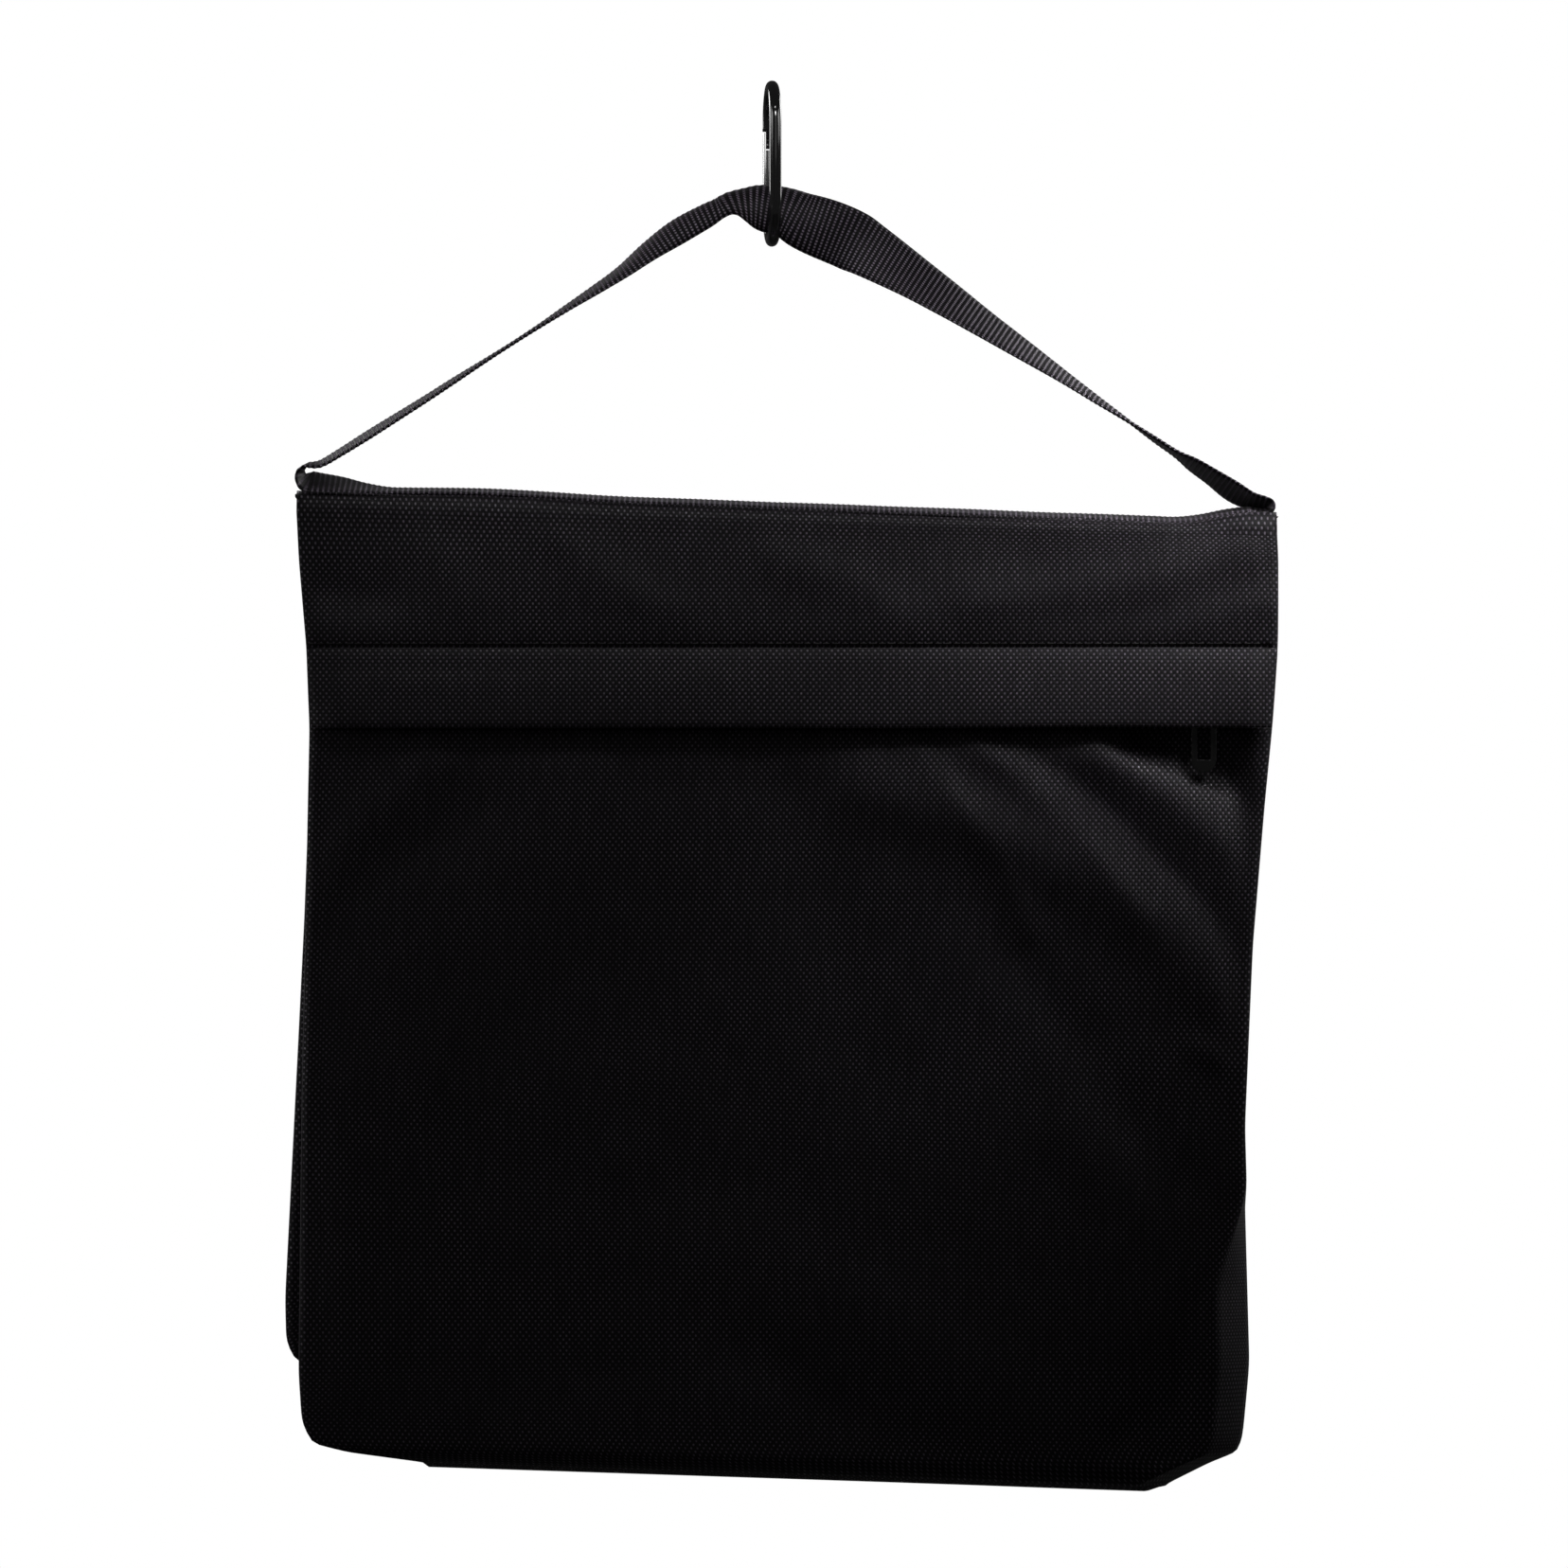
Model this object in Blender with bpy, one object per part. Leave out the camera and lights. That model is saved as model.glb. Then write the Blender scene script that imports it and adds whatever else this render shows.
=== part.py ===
"""Studio sandbag: an empty saddlebag of two zipped fabric pouches on a webbing handle, hung from a carabiner.

The origin is the carabiner's inner crown, where it hangs from a hook.  +X runs along the ridge to the right,
+Y to the rear pouch and +Z up.  Every number below is in millimetres; loft() scales to metres.
"""

import math

import bmesh
import bpy
from mathutils import Matrix, Vector

MM = 0.001
GAP = 0.3  # between pieces that touch

# Carabiner: an oval of round wire, standing across the handle and turned a little
WIRE = 4.9
LOOP_WIDTH = 33.0  # centre to centre of spine and gate
LOOP_INSIDE = 57.8  # inner crown to inner bow
YAW = math.radians(5)
GATE_ROD = 4.6
TONGUE = 1.8  # thickness of the nose and of the pivot end
SLOT = 2.4
LATCH_PIN = 1.2
RIVET = 1.8
NOSE_Z = -15.4
LATCH_Z = -18.9
PIVOT_Z = -42.9
SHOULDER_Z = PIVOT_Z - 2.6  # where the wire flattens into the pivot end
SIDES = 24

# Webbing
WEB = 25.0
WEB_THICK = 1.5
FOLD_Z = -129.5  # where the handle turns against the bag's strap ends
HANDLE = [  # centre x, centre z, lean of the width from level, curl across the width, both in degrees
    (-145.1, -129.5, 6, 0),
    (-123.6, -113.0, 3, 0),
    (-94.0, -94.4, 2, 0),
    (-67.4, -77.7, 8, 0),
    (-48.2, -63.8, 18, 0),
    (-32.8, -54.0, 30, 10),
    (-17.1, -48.6, 52, 60),
    (-8.0, -46.2, 78, 100),
    (0.0, -45.0, 88, 120),
    (8.0, -48.0, 84, 90),
    (14.9, -52.4, 80, 30),
    (28.7, -58.5, 80, 0),
    (40.2, -64.4, 68, 0),
    (61.4, -77.9, 39, 0),
    (80.2, -89.8, 29, 0),
    (109.4, -108.5, 16, 0),
    (124.9, -119.0, 6, 0),
    (140.4, -129.5, 1, 0),
]
LEFT_END = [(-190.0, -154.2, 3), (-184.4, -151.2, 3), (-162.8, -139.6, 7), (-145.4, -129.5, 6)]
RIGHT_END = [(140.7, -129.5, 1), (159.4, -142.6, 0), (173.4, -152.2, -7), (186.4, -161.0, -15), (199.0, -168.2, -15)]

# Ridge: the webbing's run over the saddle
RIDGE_LEFT = -188.0
RIDGE_RIGHT = 198.0
RIDGE_MID_Z = -168.0  # centre of the webbing at x = 0
RIDGE_SLOPE = -0.036
SADDLE_THICK = 1.2
CORNER_LEFT = 5.4  # how far the pouches' top corners reach past the webbing
CORNER_RIGHT = 6.8

# Pouches
CLOTH = 1.2
OUTLINE = [  # z left, x left, z right, x right, from under the ridge to the bottom
    (-190.0, -191.9, -190.0, 205.4),
    (-225.4, -188.7, -225.4, 205.1),
    (-258.0, -187.4, -258.0, 202.8),
    (-290.0, -188.0, -290.0, 199.6),
    (-347.0, -189.0, -347.0, 194.7),
    (-405.0, -190.2, -420.0, 191.4),
    (-520.0, -191.4, -517.0, 194.1),
    (-541.0, -190.0, -546.0, 191.4),
    (-548.5, -186.0, -552.5, 189.5),
    (-552.0, -172.0, -557.0, 178.0),
    (-556.5, -140.0, -566.5, 159.0),
]
OUTER = [(-160.0, 15.6), (-225.4, 20.0), (-258.0, 21.4), (-400.0, 27.0), (-556.0, 30.0), (-570.0, 30.0)]
INNER = [(-160.0, 12.9), (-400.0, 6.5), (-556.0, 4.5), (-570.0, 4.5)]
STITCH_Z = -225.4
REAR_DROP = 0.9  # the rear pouch's drop below the stitch line, against the front's
REAR_SHIFT = -8.0  # sideways at its bottom

# Flap and zip
FLAP_Z = -258.3
FLAP_THICK = 1.6
FLAP_STAND_OFF = 7.8  # of its lower edge from the yoke's line
ZIP_Z = -248.0
ZIP_LEFT = -172.0
ZIP_RIGHT = 186.0
TAPE_THICK = 0.6
TAPE_SPLIT = 1.0  # from the zip's centre line to each tape
FACE_TOP_Z = -255.0
TAPE_PROUD = 0.2  # of the tapes behind the face's line
COIL_PROUD = 0.1
COIL_NEAR = 0.75
COIL_FAR = 3.0
COIL_THICK = 1.5
STOP_LENGTH = 4.0
SLIDER_X = 175.2
SLIDER_LENGTH = 13.0
SLIDER_WIDTH = 8.6
PLATE = (1.8, 2.5)  # the slider's outer plate, proud of the tapes
POST = 2.2
HEAD = (3.5, 3.9)
PULL_EYE = 3.4
PULL_LENGTH = 28.5
PULL_WIDTH = 10.0
PULL_THICK = 0.8


def new_object(name, bm):
    """Finish a mesh, scale it to metres and put it in the scene."""
    bmesh.ops.remove_doubles(bm, verts=bm.verts, dist=1e-5)
    bmesh.ops.recalc_face_normals(bm, faces=bm.faces)
    bmesh.ops.scale(bm, verts=bm.verts, vec=(MM, MM, MM))
    mesh = bpy.data.meshes.new(name)
    bm.to_mesh(mesh)
    bm.free()
    obj = bpy.data.objects.new(name, mesh)
    bpy.context.collection.objects.link(obj)
    return obj


def loft(name, rings):
    """A closed solid through rings of points, capped at both ends."""
    bm = bmesh.new()
    loops = [[bm.verts.new(point) for point in ring] for ring in rings]
    count = len(loops[0])
    for near, far in zip(loops, loops[1:]):
        for i in range(count):
            j = (i + 1) % count
            bm.faces.new((near[i], near[j], far[j], far[i]))
    bm.faces.new(loops[0])
    bm.faces.new(loops[-1])
    return new_object(name, bm)


def box(name, low, high):
    """A box between two corners."""
    (x0, y0, z0), (x1, y1, z1) = low, high
    return loft(name, [[(x0, y0, z), (x1, y0, z), (x1, y1, z), (x0, y1, z)] for z in (z0, z1)])


def rod(name, start, end, radius, sides=SIDES):
    """A round rod along X or Y or Z."""
    start, end = Vector(start), Vector(end)
    turn = (end - start).to_track_quat("Z", "Y").to_matrix()
    circle = [turn @ Vector((radius * math.cos(a), radius * math.sin(a), 0)) for a in angles(sides)]
    return loft(name, [[start + p for p in circle], [end + p for p in circle]])


def angles(sides):
    """Evenly spaced angles round a circle."""
    return [math.tau * i / sides for i in range(sides)]


def combine(target, cutter, operation):
    """Join a second solid to the first, or cut it away, and remove the second."""
    modifier = target.modifiers.new("combine", "BOOLEAN")
    modifier.operation = operation
    modifier.object = cutter
    modifier.solver = "EXACT"
    graph = bpy.context.evaluated_depsgraph_get()
    mesh = bpy.data.meshes.new_from_object(target.evaluated_get(graph))
    target.modifiers.clear()
    target.data = mesh
    bpy.data.objects.remove(cutter)


def along(table, z):
    """The value at a height, straight between the table's rows."""
    for (z0, value0), (z1, value1) in zip(table, table[1:]):
        if z >= z1:
            share = (z - z0) / (z1 - z0)
            return value0 + share * (value1 - value0)
    return table[-1][1]


def ridge_z(x):
    """Height of the ridge webbing's centre."""
    return RIDGE_MID_Z + RIDGE_SLOPE * x


# Carabiner


def turned(obj):
    """Turn a carabiner piece about the vertical through the crown."""
    obj.data.transform(Matrix.Rotation(YAW, 4, "Z"))
    return obj


def body_path():
    """The wire's centre line from the nose over the crown, down the spine and round the bow."""
    half = LOOP_WIDTH / 2
    crown = WIRE / 2 - half
    bow = half - LOOP_INSIDE - WIRE / 2
    sweep = math.pi - math.asin((bow - SHOULDER_Z) / half)
    steps = 32
    over = [math.pi * i / steps for i in range(steps + 1)]
    under = [sweep * i / steps for i in range(steps + 1)]
    path = [(half, NOSE_Z)]
    path += [(half * math.cos(a), crown + half * math.sin(a)) for a in over]
    path += [(-half * math.cos(a), bow - half * math.sin(a)) for a in under]
    return path


def carabiner_body():
    """The bent wire with a notched nose and a flat pivot end."""
    path = body_path()
    half = LOOP_WIDTH / 2
    rings = []
    for i, (y, z) in enumerate(path):
        before, after = path[max(i - 1, 0)], path[min(i + 1, len(path) - 1)]
        forward = Vector((0, after[0] - before[0], after[1] - before[1])).normalized()
        across = forward.cross(Vector((1, 0, 0)))
        spot = Vector((0, y, z))
        rings.append([
            spot + WIRE / 2 * (math.cos(a) * Vector((1, 0, 0)) + math.sin(a) * across) for a in angles(SIDES)
        ])
    body = loft("carabiner_body", rings)
    reach = 2.1
    nose = box("nose", (-TONGUE / 2, half - reach, NOSE_Z - 7.0), (TONGUE / 2, half + reach, NOSE_Z + 1.5))
    combine(body, nose, "UNION")
    room = 0.15
    low = LATCH_Z - LATCH_PIN / 2 - room
    high = LATCH_Z + LATCH_PIN / 2 + room
    notch = box("notch", (-5, half - 5, low), (5, half + LATCH_PIN / 2 + room, high))
    combine(body, notch, "DIFFERENCE")
    pivot = box("pivot", (-TONGUE / 2, half - reach, SHOULDER_Z - 1), (TONGUE / 2, half + reach, PIVOT_Z))
    combine(body, pivot, "UNION")
    knuckle = rod("knuckle", (-TONGUE / 2, half, PIVOT_Z), (TONGUE / 2, half, PIVOT_Z), reach)
    combine(body, knuckle, "UNION")
    hole = rod("hole", (-5, half, PIVOT_Z), (5, half, PIVOT_Z), RIVET / 2 + 0.03)
    combine(body, hole, "DIFFERENCE")
    return turned(body)


def gate():
    """The rod that closes the loop, slotted at the top for the nose and at the bottom for the pivot end."""
    half = LOOP_WIDTH / 2
    radius = GATE_ROD / 2
    top = NOSE_Z - 0.5
    obj = rod("gate", (0, half, PIVOT_Z), (0, half, top), radius)
    knuckle = rod("knuckle", (-radius, half, PIVOT_Z), (radius, half, PIVOT_Z), radius - 0.05)
    round_end = rod("round_end", (0, half, PIVOT_Z - radius), (0, half, PIVOT_Z + 1), radius)
    combine(knuckle, round_end, "INTERSECT")
    combine(obj, knuckle, "UNION")
    combine(obj, box("slot", (-SLOT / 2, half - 5, NOSE_Z - 7.6), (SLOT / 2, half + 5, NOSE_Z)), "DIFFERENCE")
    combine(obj, box("slot", (-SLOT / 2, half - 5, PIVOT_Z - 5), (SLOT / 2, half + 5, PIVOT_Z + 2.5)), "DIFFERENCE")
    for z, radius in ((LATCH_Z, LATCH_PIN / 2 + 0.03), (PIVOT_Z, RIVET / 2 + 0.05)):
        combine(obj, rod("hole", (-5, half, z), (5, half, z), radius), "DIFFERENCE")
    return turned(obj)


def cross_pin(name, z, diameter):
    """A pin across the gate."""
    half = LOOP_WIDTH / 2
    reach = GATE_ROD / 2 - 0.2
    return turned(rod(name, (-reach, half, z), (reach, half, z), diameter / 2))


# Webbing


def strap_section(spot, forward, lean, curl=0.0, upright=False):
    """One cross-section of the strap: its width leans from level and curls like a gutter."""
    out = Vector((-forward.z, 0, forward.x))
    if upright:
        out = Vector((0, 0, 1 / forward.x))
    level = Vector((0, 1, 0))
    lean = math.radians(lean)
    width = math.cos(lean) * level + math.sin(lean) * out
    face = math.cos(lean) * out - math.sin(lean) * level
    curl = math.radians(curl)
    steps = 6
    upper, lower = [], []
    for i in range(steps + 1):
        share = i / steps - 0.5
        turn = curl * share
        reach, sink = share * WEB, 0.0
        if curl:
            reach = WEB / curl * math.sin(turn)
            sink = WEB / curl * (1 - math.cos(turn))
        middle = spot + reach * width - sink * face
        outward = math.cos(turn) * face + math.sin(turn) * width
        upper.append(middle + WEB_THICK / 2 * outward)
        lower.append(middle - WEB_THICK / 2 * outward)
    return upper + lower[::-1]


def direction(points, i):
    """The path's direction at one of its points."""
    before, after = points[max(i - 1, 0)], points[min(i + 1, len(points) - 1)]
    return (after - before).normalized()


def handle_webbing():
    """The strap's upper run, cut square to the line that the bag swings on."""
    spots = [Vector((x, 0, z)) for x, z, lean, curl in HANDLE]
    rings = []
    for i, (x, z, lean, curl) in enumerate(HANDLE):
        rings.append(strap_section(spots[i], direction(spots, i), lean, curl, upright=True))
    return loft("handle_webbing", rings)


def strap_end(name, stations, corner_first):
    """A lower run of the strap, turned round the ridge's corner."""
    spots = [Vector((x, 0, z)) for x, z, lean in stations]
    leans = [lean for x, z, lean in stations]
    corner = spots[0] if corner_first else spots[-1]
    sign = -1 if corner_first else 1
    x_end = RIDGE_LEFT - GAP if corner_first else RIDGE_RIGHT + GAP
    low = ridge_z(x_end)
    radius = (corner.z - low) / 2
    turn = []
    for i in range(1, 8):
        angle = math.pi * i / 8
        turn.append(Vector((corner.x + sign * radius * math.sin(angle), 0, low + radius + radius * math.cos(angle))))
    turn.append(Vector((x_end + sign * 0.5, 0, low)))
    turn.append(Vector((x_end, 0, low)))
    lean_at_corner = leans[0] if corner_first else leans[-1]
    turn_leans = [lean_at_corner * (1 - i / len(turn)) for i in range(1, len(turn) + 1)]
    if corner_first:
        spots = turn[::-1] + spots
        leans = turn_leans[::-1] + leans
    else:
        spots = spots + turn
        leans = leans + turn_leans
    rings = []
    for i, spot in enumerate(spots):
        free_end = i == (len(spots) - 1 if corner_first else 0)
        rings.append(strap_section(spot, direction(spots, i), leans[i], upright=free_end))
    return loft(name, rings)


def ridge_strip(name, top, thickness, width):
    """A straight strip along the ridge, its top a distance above the webbing's centre line."""
    rings = []
    for x in (RIDGE_LEFT, RIDGE_RIGHT):
        z = ridge_z(x) + top
        corners = [(-width / 2, z), (width / 2, z), (width / 2, z - thickness), (-width / 2, z - thickness)]
        rings.append([(x, y, height) for y, height in corners])
    return loft(name, rings)


# Pouches


def pouch_outline(rear):
    """The outline's rows for one pouch."""
    rows = []
    for z_left, x_left, z_right, x_right in OUTLINE:
        row = []
        for z, x in ((z_left, x_left), (z_right, x_right)):
            drop = max(STITCH_Z - z, 0)
            if rear:
                x += REAR_SHIFT * (drop / (STITCH_Z - OUTLINE[-1][0])) ** 2
                z = min(z, STITCH_Z) + drop * (1 - REAR_DROP) if drop else z
            row += [z, x]
        rows.append(row)
    return rows


def top_row():
    """The pouch's top edge, along the underside of the ridge webbing."""
    low = WEB_THICK / 2 + GAP
    left, right = RIDGE_LEFT - CORNER_LEFT, RIDGE_RIGHT + CORNER_RIGHT
    return [ridge_z(RIDGE_LEFT) - low, left, ridge_z(RIDGE_RIGHT) - low, right]


def panel(name, rows, depths, inward, thickness, side):
    """A cloth panel through rows of (z left, x left, z right, x right), at a depth that changes with height."""
    rings = []
    for z_left, x_left, z_right, x_right in rows:
        ring = []
        for z, x, inset in (
            (z_left, x_left, 0),
            (z_right, x_right, 0),
            (z_right, x_right, thickness),
            (z_left, x_left, thickness),
        ):
            ring.append((x, side * (along(depths, z) + inward * inset), z))
        rings.append(ring)
    return loft(name, rings)


def level_row(rows, z):
    """A level row between the outline's own."""
    for high, low in zip(rows, rows[1:]):
        if low[0] <= z <= high[0]:
            left = (z - high[0]) / (low[0] - high[0])
            right = (z - high[2]) / (low[2] - high[2])
            return [z, high[1] + left * (low[1] - high[1]), z, high[3] + right * (low[3] - high[3])]


def gusset(name, rows, side):
    """The strip round both sides and the bottom, from edge to edge of the panels."""
    left = [(x, z) for z, x, _, _ in rows]
    right = [(x, z) for _, _, z, x in rows]
    path = left + right[::-1]
    rings = []
    for i, (x, z) in enumerate(path):
        before, after = path[max(i - 1, 0)], path[min(i + 1, len(path) - 1)]
        inward = Vector((before[1] - after[1], 0, after[0] - before[0])).normalized()
        near = along(INNER, z) + CLOTH + GAP
        far = along(OUTER, z) - CLOTH - GAP
        edge = Vector((x, 0, z))
        ring = []
        for depth, inset in ((near, 0), (far, 0), (far, CLOTH), (near, CLOTH)):
            ring.append(edge + inset * inward + Vector((0, side * depth, 0)))
        rings.append(ring)
    return loft(name, rings)


def zip_face(d):
    """The depth of a level a little proud of the tapes at the zip's centre line."""
    return along(OUTER, ZIP_Z) + d


def zip_bar(name, side, x, z, d):
    """A bar between two x values, two distances below the zip's centre line and two depths proud of the tapes."""
    y0, y1 = sorted(side * zip_face(depth) for depth in d)
    return box(name, (x[0], y0, ZIP_Z + z[0]), (x[1], y1, ZIP_Z + z[1]))


def zip_pieces(prefix, side, rows):
    """Tapes, coils and end stops."""
    tape_line = [(z, depth - TAPE_PROUD) for z, depth in OUTER]
    for name, high, low in (
        ("upper_tape", STITCH_Z - GAP, ZIP_Z + TAPE_SPLIT),
        ("lower_tape", ZIP_Z - TAPE_SPLIT, FACE_TOP_Z + GAP),
    ):
        tape_rows = [level_row(rows, high), level_row(rows, low)]
        panel(f"{prefix}_{name}", tape_rows, tape_line, -1, TAPE_THICK, side)
    coil = (COIL_PROUD, COIL_PROUD + COIL_THICK)
    zip_bar(f"{prefix}_upper_coil", side, (ZIP_LEFT, ZIP_RIGHT), (COIL_NEAR, COIL_FAR), coil)
    zip_bar(f"{prefix}_lower_coil", side, (ZIP_LEFT, ZIP_RIGHT), (-COIL_FAR, -COIL_NEAR), coil)
    for name, start in (("open_stop", ZIP_LEFT - GAP - STOP_LENGTH), ("closed_stop", ZIP_RIGHT + GAP)):
        zip_bar(f"{prefix}_{name}", side, (start, start + STOP_LENGTH), (-COIL_FAR, COIL_FAR), coil)


def zip_stud(name, side, radius, z, d):
    """A round stud across the slider, at a height below the zip's centre line."""
    start, end = (Vector((SLIDER_X, side * zip_face(depth), ZIP_Z + z)) for depth in d)
    return rod(name, start, end, radius)


def slider(prefix, side):
    """Two plates on either side of the tapes, joined by a neck, with a headed post for the pull."""
    x = (SLIDER_X - SLIDER_LENGTH / 2, SLIDER_X + SLIDER_LENGTH / 2)
    half = SLIDER_WIDTH / 2
    neck = 0.45
    wall = 0.9
    obj = zip_bar(f"{prefix}_slider", side, x, (-half, half), PLATE)
    for part_x, part_z, part_d in (
        (x, (-half, half), (-2.2, -1.2)),
        ((x[0] + 1, x[0] + 4), (-neck, neck), (-1.5, 2.0)),
        (x, (half - wall, half), (0.4, 2.0)),
        (x, (-half, wall - half), (0.4, 2.0)),
    ):
        combine(obj, zip_bar("part", side, part_x, part_z, part_d), "UNION")
    combine(obj, zip_stud("post", side, POST / 2, 0, (2.0, HEAD[0] + 0.1)), "UNION")
    combine(obj, zip_stud("head", side, POST, 0, HEAD), "UNION")
    return obj


def pull(prefix, side):
    """A tab with an eye at the top and a window below it."""
    d = (PLATE[1] + 0.1, PLATE[1] + 0.1 + PULL_THICK)
    through = (0, 9)
    half = PULL_WIDTH / 2
    tip = half - PULL_LENGTH
    rim = 2.3
    obj = zip_stud(f"{prefix}_pull", side, PULL_EYE, 0, d)
    stem = zip_bar("stem", side, (SLIDER_X - 2, SLIDER_X + 2), (-8, 0), d)
    tab = zip_bar("tab", side, (SLIDER_X - half, SLIDER_X + half), (tip, -7), d)
    for part in (stem, tab, zip_stud("end", side, half, tip, d)):
        combine(obj, part, "UNION")
    window = zip_bar("window", side, (SLIDER_X - half + rim, SLIDER_X + half - rim), (tip, -7 - rim), through)
    bore = zip_stud("bore", side, POST / 2 + 0.1, 0, through)
    for cutter in (window, bore):
        combine(obj, cutter, "DIFFERENCE")
    return obj


def flap(prefix, side, rows):
    """The folded strip over the zip, standing off a little at its lower edge."""
    top = along(OUTER, STITCH_Z) + 0.4
    line = [(STITCH_Z, top + FLAP_THICK), (FLAP_Z, top + FLAP_THICK + FLAP_STAND_OFF)]
    flap_rows = [level_row(rows, STITCH_Z - 0.6), level_row(rows, FLAP_Z)]
    return panel(f"{prefix}_flap", flap_rows, line, -1, FLAP_THICK, side)


def pouch(prefix, rear):
    """Every piece of one pouch."""
    side = 1 if rear else -1
    rows = [top_row(), *pouch_outline(rear)]
    panel(f"{prefix}_yoke", rows[:3], OUTER, -1, CLOTH, side)
    panel(f"{prefix}_face", [level_row(rows, FACE_TOP_Z), *rows[3:]], OUTER, -1, CLOTH, side)
    panel(f"{prefix}_back", rows, INNER, 1, CLOTH, side)
    gusset(f"{prefix}_gusset", rows[1:], side)
    zip_pieces(prefix, side, rows)
    slider(prefix, side)
    pull(prefix, side)
    flap(prefix, side, rows)


def build():
    for obj in list(bpy.data.objects):
        bpy.data.objects.remove(obj)
    carabiner_body()
    gate()
    cross_pin("latch_pin", LATCH_Z, LATCH_PIN)
    cross_pin("gate_rivet", PIVOT_Z, RIVET)
    handle_webbing()
    strap_end("left_strap_end", LEFT_END, corner_first=True)
    strap_end("right_strap_end", RIGHT_END, corner_first=False)
    ridge_strip("ridge_webbing", WEB_THICK / 2, WEB_THICK, WEB)
    ridge_strip("saddle_top", -WEB_THICK / 2 - GAP, SADDLE_THICK, WEB - 0.4)
    pouch("front", rear=False)
    pouch("rear", rear=True)


build()
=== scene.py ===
"""Looks of the studio sandbag: cloth pouches, webbing, zips and a carabiner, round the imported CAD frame.

Lengths are in metres unless a comment says millimetres.
"""

import math

import bmesh
import bpy
import numpy as np
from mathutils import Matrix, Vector, noise


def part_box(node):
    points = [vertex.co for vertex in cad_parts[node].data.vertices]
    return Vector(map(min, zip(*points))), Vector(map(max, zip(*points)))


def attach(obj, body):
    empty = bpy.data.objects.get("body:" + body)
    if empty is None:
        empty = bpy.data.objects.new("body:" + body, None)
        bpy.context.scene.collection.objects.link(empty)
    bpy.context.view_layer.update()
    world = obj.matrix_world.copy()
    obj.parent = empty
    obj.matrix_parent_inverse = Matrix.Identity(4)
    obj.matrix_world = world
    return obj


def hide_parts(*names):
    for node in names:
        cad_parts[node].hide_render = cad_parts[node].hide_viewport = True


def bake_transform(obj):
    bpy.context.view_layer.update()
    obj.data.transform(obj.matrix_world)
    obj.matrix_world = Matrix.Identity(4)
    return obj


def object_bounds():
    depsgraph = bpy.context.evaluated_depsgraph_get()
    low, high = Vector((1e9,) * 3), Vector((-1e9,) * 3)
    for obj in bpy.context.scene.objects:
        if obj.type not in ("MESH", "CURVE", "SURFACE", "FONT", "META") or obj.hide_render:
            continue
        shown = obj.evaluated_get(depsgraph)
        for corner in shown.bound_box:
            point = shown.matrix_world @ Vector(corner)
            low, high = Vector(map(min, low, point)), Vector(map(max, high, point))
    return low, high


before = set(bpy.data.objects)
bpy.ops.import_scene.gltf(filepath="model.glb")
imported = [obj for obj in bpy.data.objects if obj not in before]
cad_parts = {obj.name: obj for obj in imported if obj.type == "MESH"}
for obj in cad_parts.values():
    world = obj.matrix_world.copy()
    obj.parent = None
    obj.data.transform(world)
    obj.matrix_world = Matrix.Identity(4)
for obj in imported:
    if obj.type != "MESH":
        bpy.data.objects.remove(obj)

MM = 0.001
cad_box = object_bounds()

# Cloth
THREAD_ACROSS = 1.25 * MM  # pitch of the weave's upright threads
THREAD_DOWN = 1.44 * MM  # pitch of its level threads
CLOTH_THICK = 0.7 * MM
GRID = 3.0 * MM  # spacing of the cloth mesh
HEM_ROLL = 7.0 * MM  # radius of the cloth's roll over the ridge's edge
BOTTOM_ROLL = 9.0 * MM  # radius of its roll round the bottom
TINT = 1.6  # strength of the cloth's violet cast

# Webbing
WEB = 25.0 * MM
WEB_THICK = 1.5 * MM
RIB = 2.15 * MM  # pitch of its ribs
RIB_HEIGHT = 0.22 * MM

# Frame
ridge_low, ridge_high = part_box("ridge_webbing")
RIDGE_LEFT = ridge_low.x
RIDGE_RIGHT = ridge_high.x
RIDGE_SLOPE = (ridge_low.z - ridge_high.z + WEB_THICK) / (ridge_high.x - ridge_low.x)
RIDGE_Z = ridge_high.z - WEB_THICK / 2 - RIDGE_SLOPE * ridge_low.x  # centre of the webbing at x = 0
STITCH_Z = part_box("front_yoke")[0].z  # the seam between yoke and flap
FLAP_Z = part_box("front_flap")[0].z  # the flap's lower edge
FLAP_DEEP = STITCH_Z - FLAP_Z
ZIP_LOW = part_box("front_lower_tape")[1].z
OUT = {"front": -1, "rear": 1}  # which way each pouch faces along y

# Camera
FILLS = 0.8973  # share of the picture's height that the object takes
TOP_GAP = 0.0507  # share of the picture's height above it
VIEW_X = 4.9 * MM  # the picture's middle line
CAMERA_FAR = 8.0
YOKE_NEAR = 0.012  # how far in front of the middle plane the picture's scale holds
SENSOR = 36.0  # width of the camera's sensor, in millimetres
VIEW = (cad_box[1].z - cad_box[0].z) / FILLS
VIEW_MIDDLE = Vector((VIEW_X, 0, cad_box[1].z - (0.5 - TOP_GAP) * VIEW))


# Small tools


def add_object(name, mesh):
    """An object in the scene, made from its data."""
    obj = bpy.data.objects.new(name, mesh)
    bpy.context.scene.collection.objects.link(obj)
    return obj


def mesh_piece(name, points, faces, uvs=None):
    """A smooth-shaded mesh, with one flat-cut coordinate for each point."""
    mesh = bpy.data.meshes.new(name)
    mesh.from_pydata([tuple(p) for p in points], [], [tuple(f) for f in faces])
    if uvs is not None:
        layer = mesh.uv_layers.new(name="cut")
        spots = np.asarray(uvs, float)
        corners = np.zeros(len(mesh.loops), np.int32)
        mesh.loops.foreach_get("vertex_index", corners)
        layer.data.foreach_set("uv", spots[corners].ravel())
    mesh.shade_smooth()
    return add_object(name, mesh)


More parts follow.
